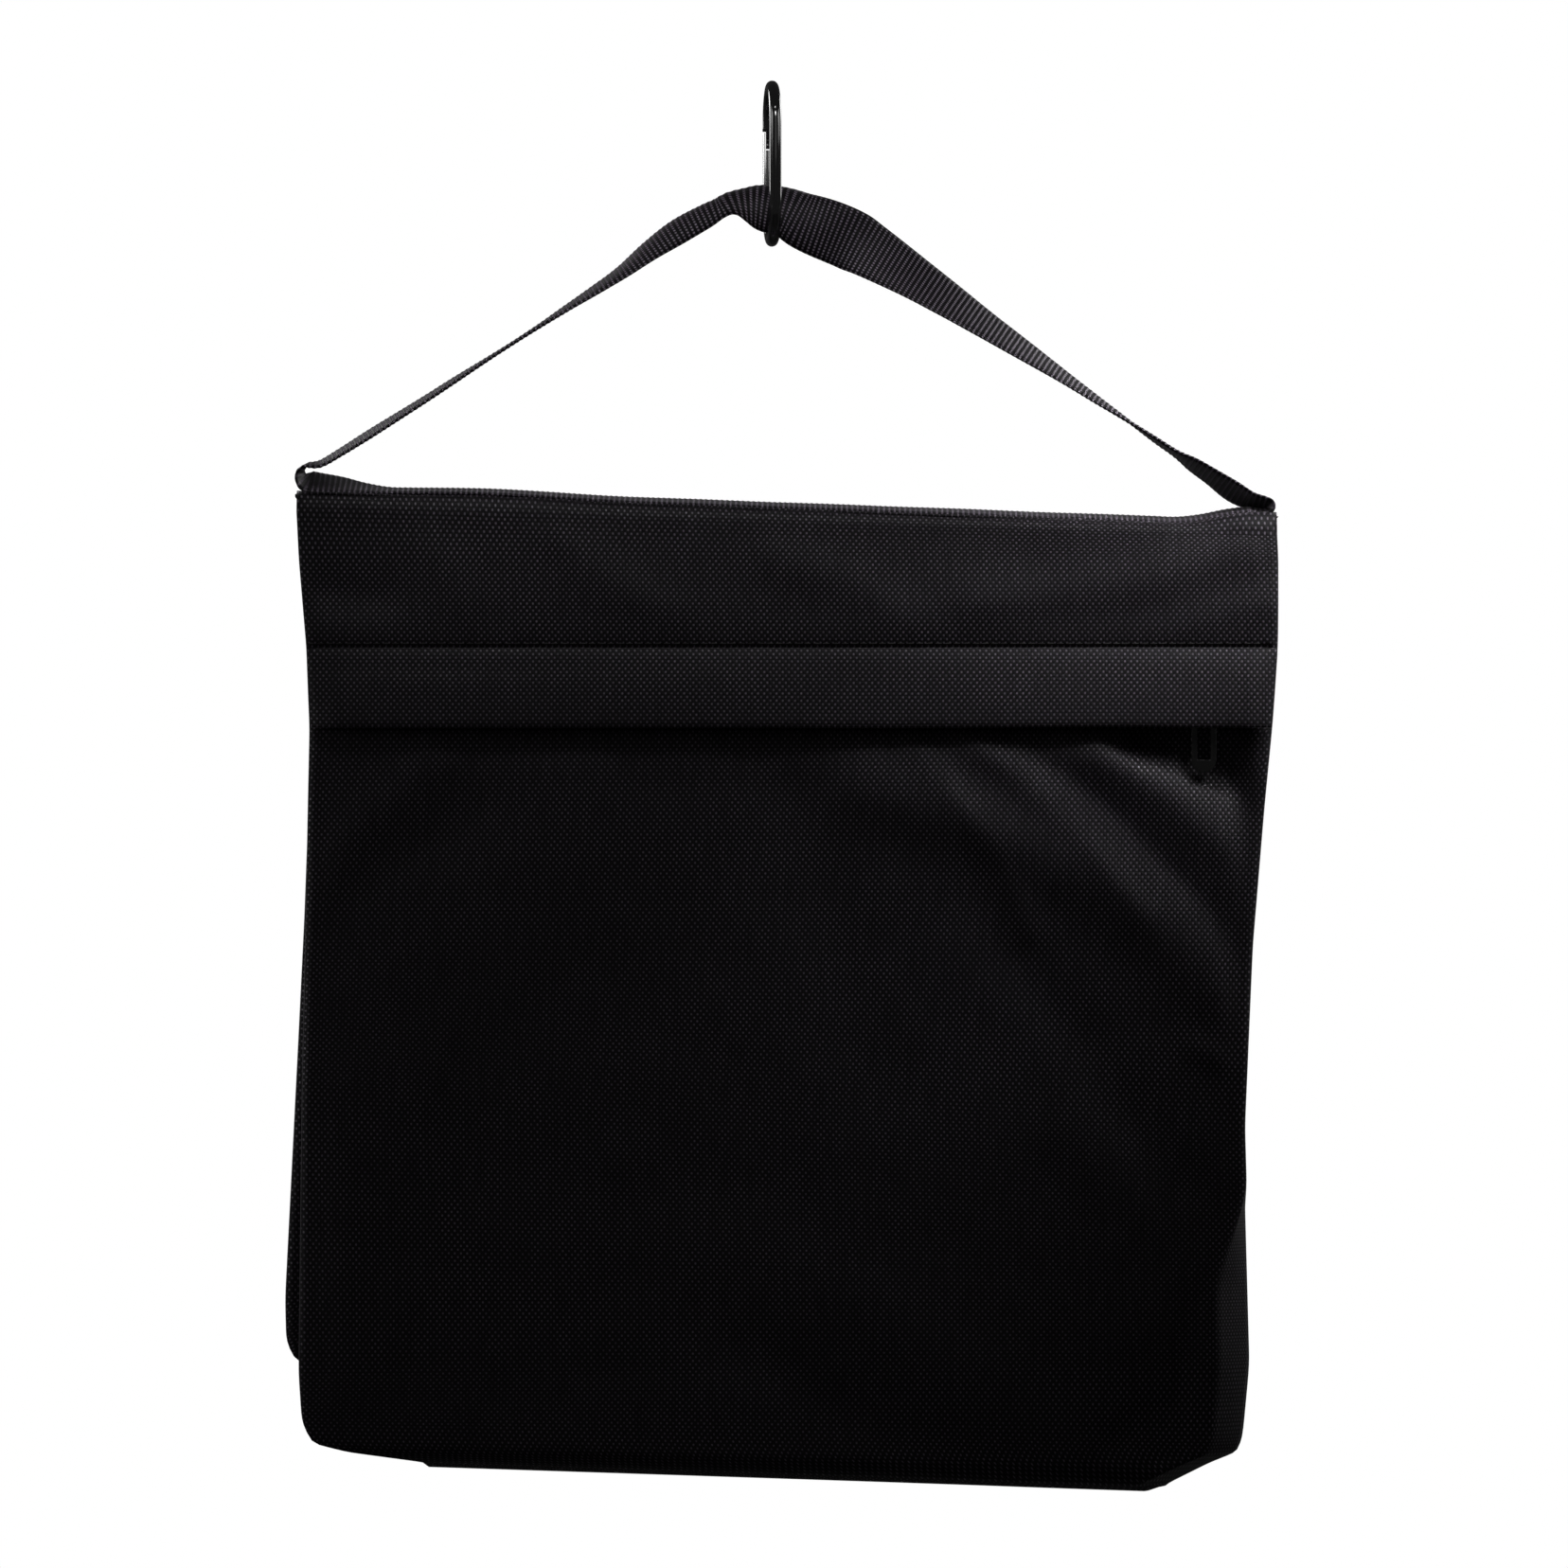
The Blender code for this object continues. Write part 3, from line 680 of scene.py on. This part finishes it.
STRAP = [  # place across, upper edge and lower edge as seen from the front, curl; millimetres and degrees
    (-183.6, -148.8, -153.1, 0),
    (-175.2, -143.8, -148.5, 0),
    (-163.6, -136.3, -141.5, 0),
    (-152.1, -129.2, -134.2, 0),
    (-140.5, -122.2, -126.6, 0),
    (-129.0, -115.1, -118.8, 0),
    (-117.5, -108.2, -111.0, 0),
    (-106.0, -101.2, -103.4, 0),
    (-94.4, -93.5, -96.2, 0),
    (-82.8, -85.4, -89.6, 10),
    (-71.3, -77.3, -83.1, 30),
    (-59.8, -68.5, -76.5, 70),
    (-48.2, -58.1, -69.2, 110),
    (-36.7, -49.6, -62.7, 140),
    (-25.2, -43.7, -55.8, 150),
    (-19.4, -41.5, -51.7, 160),
    (-16.0, -40.2, -50.6, 160),
    (-12.5, -39.2, -52.6, 140),
    (-7.8, -38.1, -55.2, 115),
    (-2.1, -37.3, -57.2, 105),
    (5.6, -38.0, -59.8, 90),
    (13.3, -39.8, -65.2, 60),
    (24.8, -42.6, -71.0, 20),
    (32.5, -46.2, -74.2, 0),
    (40.2, -51.2, -77.7, 0),
    (55.6, -62.7, -85.0, 0),
    (71.0, -74.6, -93.1, 0),
    (86.4, -86.9, -101.5, 0),
    (101.8, -98.8, -110.0, 0),
    (117.2, -110.6, -118.8, 0),
    (132.5, -122.7, -127.7, 0),
    (142.0, -130.2, -133.0, 0),
]
UNDERSIDE = [  # the same beyond the twist, where the near edge is the upper one
    (155.6, -139.4, -142.6, 0),
    (164.1, -144.4, -149.0, 0),
    (171.0, -147.3, -155.0, 0),
    (178.7, -151.5, -160.8, 0),
    (187.2, -156.5, -167.6, 10),
    (194.5, -161.4, -170.6, 10),
]
LEFT_TURN = [(-4.2, 0.9, -20, 0), (-6.6, 3.8, -8, 0), (-4.6, 7.0, 2, 0)]  # from the ridge's left end upwards
RIGHT_TURN = [(7.6, 1.6, -12, 0), (6.2, -0.6, -8, 0)]  # from the right corner in towards the ridge
ACROSS = 10  # steps across the webbing
EDGE_FROM = 0.86  # where the webbing starts to thin, from its middle line to its edge
EDGE_LESS = 0.55  # how much thinner it is at its edge


def smooth_line(rows, spacing):
    """Evenly spaced rows on a smooth line through the given rows, whose first two values are places."""
    rows = np.array(rows, float)
    before = np.vstack([2 * rows[0] - rows[1], rows[:-1]])
    after = np.vstack([rows[1:], 2 * rows[-1] - rows[-2]])
    slope = (after - before) / 2
    t = np.linspace(0, 1, 24, endpoint=False)[:, None]
    dense = []
    for i in range(len(rows) - 1):
        dense.append(
            (2 * t**3 - 3 * t**2 + 1) * rows[i] + (t**3 - 2 * t**2 + t) * slope[i]
            + (3 * t**2 - 2 * t**3) * rows[i + 1] + (t**3 - t**2) * slope[i + 1]
        )
    dense = np.vstack([*dense, rows[-1:]])
    run = np.concatenate([[0], np.cumsum(np.hypot(*np.diff(dense[:, :2], axis=0).T))])
    at = np.linspace(0, run[-1], round(run[-1] / spacing) + 1)
    return np.column_stack([np.interp(at, run, dense[:, k]) for k in range(dense.shape[1])])


def section(lean, curl, steps=ACROSS):
    """The webbing's cross-section about the middle of its edges: level, up and turn at each step across."""
    curl = max(curl, 1e-4)
    turn = curl * np.linspace(-0.5, 0.5, steps + 1)
    wide = WEB / curl * np.sin(turn)
    bow = WEB / curl * (np.cos(turn) - math.cos(curl / 2))
    level = wide * math.cos(lean) - bow * math.sin(lean)
    up = wide * math.sin(lean) + bow * math.cos(lean)
    return level, up, turn


def strap_rows(rows, side):
    """Turn what is seen of the strap into its middle, lean and curl; side is 1 where the far edge is up."""
    made = []
    table = np.array(rows, float)
    slopes = np.cos(np.arctan(np.gradient((table[:, 1] + table[:, 2]) / 2, table[:, 0])))
    for (x, top, low, curl), slope in zip(table, slopes):
        z = (top + low) / 2
        climb = (z * MM - VIEW_MIDDLE.z) / CAMERA_FAR
        best = None
        for lean in np.radians(np.linspace(0, 90, 91) * side):
            level, up, _ = section(lean, math.radians(curl))
            seen = (up - level * climb) / MM
            tall = (seen.max() - seen.min() + WEB_THICK / MM * max(math.cos(lean), 0.2)) / slope
            miss = abs(tall - (top - low))
            if best is None or miss < best[0]:
                best = (miss, lean, (seen.max() + seen.min()) / 2 / slope)
        made.append((x, z - best[2], math.degrees(best[1]), curl))
    return made


def ridge_height(x):
    """Height of the ridge webbing's middle."""
    x = np.atleast_1d(x)
    hump = 1.2 * MM * np.exp(-(((x + 0.115) / 0.045) ** 2))
    return ridge_z(x) + ridge_lift(x) + hump + 0.35 * MM * crumple(x, np.zeros(x.shape), 0.045, 5.0)


def webbing_route():
    """The loop of webbing: left along the ridge, up to the carabiner and down to the right corner.

    Each row has places across and up in millimetres, then lean and curl in degrees.
    """
    rows = []
    for x in np.linspace(RIDGE_RIGHT - 4 * MM, RIDGE_LEFT + 3 * MM, 40):
        end = float(smoothstep(-RIDGE_LEFT - 0.036, -RIDGE_LEFT, -x))
        rows.append((x / MM, float(ridge_height(x)[0]) / MM + 2.5 * end, -5 - 15 * end, 0))
    x, z = rows[-1][:2]
    rows += [(x + right, z + up, lean, curl) for right, up, lean, curl in LEFT_TURN]
    rows += strap_rows(STRAP, 1)
    rows += strap_rows(UNDERSIDE, -1)
    x, z = rows[0][:2]
    rows += [(x + right, z + up, lean, curl) for right, up, lean, curl in RIGHT_TURN]
    return rows


def webbing_piece():
    """The strap as one closed loop with its ribs and thin edges, and its length."""
    rows = webbing_route()
    rows.append(rows[0])
    line = smooth_line(rows, RIB / MM / 5)[:-1]
    spots = np.column_stack([line[:, 0], np.zeros(len(line)), line[:, 1]]) * MM
    forward = np.roll(spots, -1, axis=0) - np.roll(spots, 1, axis=0)
    forward /= np.linalg.norm(forward, axis=1)[:, None]
    run = np.concatenate([[0], np.cumsum(np.linalg.norm(np.diff(spots, axis=0), axis=1))])
    level = np.array([0, 1.0, 0])
    points, cuts = [], []
    share = np.linspace(-0.5, 0.5, ACROSS + 1)
    for i in range(len(spots)):
        lean = math.radians(line[i, 2])
        out = np.array([-forward[i, 2], 0, forward[i, 0]])
        sides, ups, turns = section(lean, math.radians(line[i, 3]))
        centres = spots[i] + np.outer(sides, level) + np.outer(ups, out)
        tilts = lean - turns
        outward = np.outer(np.cos(tilts), out) - np.outer(np.sin(tilts), level)
        rib = RIB_HEIGHT / 2 * math.cos(math.tau * run[i] / RIB)
        edge = 1 - EDGE_LESS * np.clip(np.abs(share) * 2 - EDGE_FROM, 0, 1) / (1 - EDGE_FROM)
        reach = ((WEB_THICK / 2 + rib) * edge)[:, None] * outward
        points += list(centres + reach) + list((centres - reach)[::-1])
        cuts += [(place * WEB, run[i]) for place in share]
        cuts += [((1 + place) * WEB, run[i]) for place in share]
    ring_size = 2 * (ACROSS + 1)
    points += points[:ring_size]
    length = run[-1] + float(np.linalg.norm(spots[0] - spots[-1]))
    cuts += [(a, length) for a, _ in cuts[:ring_size]]
    faces = grid_faces(len(spots) + 1, ring_size, closed=True)
    obj = mesh_piece("webbing", points, faces, cuts)
    weld(obj, outward=True)
    obj.data.materials.append(WEBBING)
    return obj, length


def saddle_cloth():
    """The cloth under the ridge webbing, between the two pouches."""
    low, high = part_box("saddle_top")
    half = high.y + 1.0 * MM
    x = np.linspace(low.x, high.x, 80)
    y = np.linspace(-half, half, 9)
    points, cuts = [], []
    for a in x:
        for b in y:
            sag = 0.5 * MM * (b / half) ** 2
            points.append((a, b, ridge_z(a) + ridge_lift(a) - WEB_THICK / 2 - 0.5 * MM - sag))
            cuts.append((a, b))
    obj = mesh_piece("saddle_cloth", points, grid_faces(len(x), len(y)), cuts)
    obj.data.materials.append(CLOTH)
    thicken(obj, 1.2 * MM, 0)
    return obj


# Stitches and hardware

COIL_PITCH = 1.5 * MM
COIL_WIRE = 0.32 * MM  # radius of its wire
COIL_WIDER = 1.5  # how much wider than deep the wire is
COIL_SIDES = 5
COIL_LOOP = [  # one turn: reach from the zip's middle line and rise off the tape, both from 0 to 1
    (0.92, 0.0),
    (1.0, 0.5),
    (0.9, 1.0),
    (0.35, 1.0),
    (0.06, 0.62),
    (0.06, 0.3),
    (0.35, 0.0),
]
SHARP = math.radians(35)  # corners sharper than this are softened


def stitch_row(name, line, outward, length=2.8 * MM, gap=1.0 * MM, radius=0.28 * MM):
    """A row of thread stitches along a line that lies on the cloth."""
    spots = np.array(line, float)
    run = np.concatenate([[0], np.cumsum(np.linalg.norm(np.diff(spots, axis=0), axis=1))])
    points, faces = [], []
    sides, rings = 6, 5
    at = 0.0
    while at + length < run[-1]:
        base = len(points)
        for k in range(rings):
            share = k / (rings - 1)
            along = at + length * share
            centre = np.array([np.interp(along, run, spots[:, a]) for a in range(3)])
            ahead = np.array([np.interp(min(along + 0.2 * MM, run[-1]), run, spots[:, a]) for a in range(3)])
            forward = (ahead - centre) / max(np.linalg.norm(ahead - centre), 1e-9)
            up = np.array(outward, float)
            across = np.cross(forward, up)
            swell = math.sqrt(max(0.0, math.sin(math.pi * min(max(share, 0.04), 0.96))))
            lift = (swell - 0.75) * 1.1 * radius
            for side in range(sides):
                angle = math.tau * side / sides
                ring = math.cos(angle) * across + math.sin(angle) * up
                points.append(centre + lift * up + radius * swell * ring)
        faces += grid_faces(rings, sides, base, closed=True)
        faces.append(tuple(base + side for side in range(sides)))
        faces.append(tuple(base + (rings - 1) * sides + side for side in range(sides))[::-1])
        at += length + gap
    obj = mesh_piece(name, points, faces)
    obj.data.materials.append(THREAD)
    return obj


def on_cloth(obj, x_values, z, sign, proud=0.15 * MM):
    """A level line of points on a cloth's outer face, found by looking at it from the front or back."""
    graph = bpy.context.evaluated_depsgraph_get()
    shape = obj.evaluated_get(graph)
    found = []
    for x in x_values:
        hit, place, _, _ = shape.ray_cast(Vector((x, sign * 0.3, z)), Vector((0, -sign, 0)))
        if hit:
            found.append((place.x, place.y + sign * proud, place.z))
    return found


def coil(prefix, part):
    """Half of a coil zip: a row of small nylon loops along the tape's edge."""
    node = f"{prefix}_{part}_coil"
    low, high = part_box(node)
    sign = OUT[prefix]
    way = 1 if part == "upper" else -1
    inner = min(abs(low.y), abs(high.y))
    depth = abs(high.y - low.y)
    middle = (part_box(f"{prefix}_upper_coil")[0].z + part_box(f"{prefix}_lower_coil")[1].z) / 2
    far = max(abs(low.z - middle), abs(high.z - middle))
    right = Vector((1, 0, 0))
    turns = len(COIL_LOOP)
    points, faces = [], []
    for i in range(int((high.x - low.x) / COIL_PITCH)):
        x = low.x + COIL_PITCH * (i + (0.25 if way > 0 else 0.75))
        base = len(points)
        for k, (reach, rise) in enumerate(COIL_LOOP):
            y = sign * (inner + COIL_WIRE + (depth - 2 * COIL_WIRE) * rise)
            centre = Vector((x, y, middle + way * far * reach))
            before, after = COIL_LOOP[k - 1], COIL_LOOP[(k + 1) % turns]
            run = Vector((0, sign * (after[1] - before[1]) * depth, way * (after[0] - before[0]) * far))
            side = run.normalized().cross(right)
            for j in range(COIL_SIDES):
                angle = math.tau * j / COIL_SIDES
                ring = math.cos(angle) * right * COIL_WIDER + math.sin(angle) * side
                points.append(tuple(centre + COIL_WIRE * ring))
        faces += grid_faces(turns, COIL_SIDES, base, closed=True)
        last = base + (turns - 1) * COIL_SIDES
        for j in range(COIL_SIDES):
            n = (j + 1) % COIL_SIDES
            faces.append((last + j, last + n, base + n, base + j))
    obj = mesh_piece(f"{node}_loops", points, faces)
    weld(obj, outward=True)
    obj.data.materials.append(NYLON)
    return obj


def finish_node(node, material, bevel):
    """A CAD node that stays: its corners softened and its finish changed."""
    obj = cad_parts[node]
    mesh = obj.data
    if "custom_normal" in mesh.attributes:
        mesh.attributes.remove(mesh.attributes["custom_normal"])
    mesh.shade_smooth()
    join = obj.modifiers.new("join", "WELD")
    join.merge_threshold = 0.002 * MM
    if bevel:
        soft = obj.modifiers.new("soft", "BEVEL")
        soft.width = bevel
        soft.segments = 3
        soft.limit_method = "ANGLE"
        soft.angle_limit = SHARP
        soft.harden_normals = False
    for slot in obj.material_slots:
        slot.material = material


# Assembly


def add_webbing():
    """The strap, made as one loop in place of the CAD's webbing nodes."""
    web, web_length = webbing_piece()
    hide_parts("handle_webbing", "left_strap_end", "right_strap_end", "ridge_webbing")
    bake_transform(web)


def add_saddle():
    """The cloth that joins the two pouches."""
    under = saddle_cloth()
    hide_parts("saddle_top")
    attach(under, "saddle")


def add_flap(prefix):
    """The strip that covers a pouch's zip."""
    flap = flap_cloth(prefix)
    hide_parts(f"{prefix}_flap")
    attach(flap, f"{prefix}_flap")


def add_pouch(prefix):
    """A pouch's cloth with its flap and the stitches along the flap's seam."""
    sign = OUT[prefix]
    body = f"{prefix}_pouch"
    cloth = pouch_cloth(prefix)
    thicken(cloth, CLOTH_THICK)
    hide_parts(*[f"{prefix}_{part}" for part in ("yoke", "face", "gusset", "back")])
    add_flap(prefix)

    low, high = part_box(f"{prefix}_back")
    x = np.arange(low.x + 5 * MM, high.x - 5 * MM, 1.5 * MM)
    line = on_cloth(cloth, x, STITCH_Z + 1.2 * MM, sign)
    seam = stitch_row(f"{prefix}_flap_seam", line, (0, sign, 0))
    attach(seam, body)

    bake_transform(cloth)


def add_zip(prefix):
    """A pouch's zip: coils of its own and the CAD's tapes, stops, slider and pull."""
    for part in ("upper", "lower"):
        loops = coil(prefix, part)
        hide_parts(f"{prefix}_{part}_coil")
        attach(loops, f"{prefix}_pouch")
        finish_node(f"{prefix}_{part}_tape", TAPE, 0)
    for part in ("open_stop", "closed_stop"):
        finish_node(f"{prefix}_{part}", NYLON, 0.4 * MM)
    for part in ("slider", "pull"):
        finish_node(f"{prefix}_{part}", LACQUER, 0.22 * MM)


def finish_carabiner():
    """The carabiner's CAD nodes, in their metals."""
    finish_node("carabiner_body", BLACK_NICKEL, 0)
    finish_node("gate", SILVER, 0.25 * MM)
    finish_node("latch_pin", STEEL, 0)
    finish_node("gate_rivet", STEEL, 0.2 * MM)


add_webbing()
add_saddle()
for prefix in ("front", "rear"):
    add_pouch(prefix)
    add_zip(prefix)
finish_carabiner()


# Camera, floor and light

FLOOR_HALF = 0.9  # from the floor's middle to its edges
FLOOR_DROP = 0.16  # how far below the object the floor is
FLOOR_GLOW = 0.72


def add_camera():
    """A camera straight in front, which looks level."""
    data = bpy.data.cameras.new("camera")
    data.sensor_width = SENSOR
    data.lens = SENSOR * (CAMERA_FAR - YOKE_NEAR) / VIEW
    camera = bpy.data.objects.new("camera", data)
    bpy.context.scene.collection.objects.link(camera)
    camera.location = VIEW_MIDDLE + Vector((0, -CAMERA_FAR, 0))
    camera.rotation_euler = (math.radians(90), 0, 0)
    bpy.context.scene.camera = camera


def add_light(name, place, target, size, watts, spread=180):
    """A rectangular lamp turned to a target, whose light spreads by so many degrees."""
    data = bpy.data.lights.new(name, "AREA")
    data.shape = "RECTANGLE"
    data.size, data.size_y = size
    data.energy = watts
    data.spread = math.radians(spread)
    light = bpy.data.objects.new(name, data)
    bpy.context.scene.collection.objects.link(light)
    light.location = place
    light.rotation_euler = (Vector(target) - Vector(place)).to_track_quat("-Z", "Y").to_euler()


def add_floor():
    """A pale floor that throws little light back at the object."""
    z = cad_box[0].z - FLOOR_DROP
    corners = [(x * FLOOR_HALF, y * FLOOR_HALF, z) for x, y in ((-1, -1), (1, -1), (1, 1), (-1, 1))]
    mesh = bpy.data.meshes.new("floor")
    mesh.from_pydata(corners, [], [(0, 1, 2, 3)])
    floor = add_object("floor", mesh)
    n = Nodes("pale_floor")
    seen = n.put("ShaderNodeLightPath").outputs["Is Camera Ray"]
    n.finish(
        Base_Color=grey(0.25),
        Roughness=0.9,
        Specular_IOR_Level=0.1,
        Emission_Color=grey(1.0),
        Emission_Strength=n.math("MULTIPLY", seen, FLOOR_GLOW),
    )
    mesh.materials.append(n.material)


def add_world(seen, ambient):
    """White where it is seen, and dimmer as a light."""
    world = bpy.data.worlds.new("studio")
    bpy.context.scene.world = world
    world.use_nodes = True
    tree = world.node_tree
    glow = tree.nodes["Background"]
    glow.inputs["Color"].default_value = (1, 1, 1, 1)
    path = tree.nodes.new("ShaderNodeLightPath")
    strength = tree.nodes.new("ShaderNodeMapRange")
    strength.inputs["To Min"].default_value = ambient
    strength.inputs["To Max"].default_value = seen
    tree.links.new(path.outputs["Is Camera Ray"], strength.inputs["Value"])
    tree.links.new(strength.outputs[0], glow.inputs["Strength"])


add_camera()
add_floor()
add_world(1.0, 0.036)
add_light("strip", (0.06, -0.22, 0.15), (0.06, 0, -0.19), (0.5, 0.12), 0.053, 22)
add_light("key", (0.42, -0.14, 0.16), (0.16, 0, -0.21), (0.1, 0.15), 0.066, 24)
add_light("low_key", (0.40, -0.26, 0.10), (0.17, 0, -0.23), (0.2, 0.15), 0.04, 45)
add_light("fill", (0.2, -1.5, 0.4), (0, 0, -0.3), (0.8, 0.8), 0.42)
add_light("strap_light", (0.05, -0.5, 0.3), (0, 0, -0.08), (0.3, 0.1), 0.02, 24)
for side, forward, watts in ((-1, 0.16, 0.05), (1, 0, 0.03)):  # the left side and the right
    add_light("rim", (side * 0.6, -forward, -0.28), (side * 0.19, 0, -0.38), (0.1, 0.3), watts, 50)
    add_light("panel", (side * 0.38, -0.12, 0.10), (0, 0, -0.01), (0.3, 0.2), 0.045, 80)
    add_light("back", (side * 0.6, 0.6, 0.1), (0, 0, -0.25), (0.3, 0.3), 0.3, 60)
bpy.context.scene.view_settings.view_transform = "Standard"
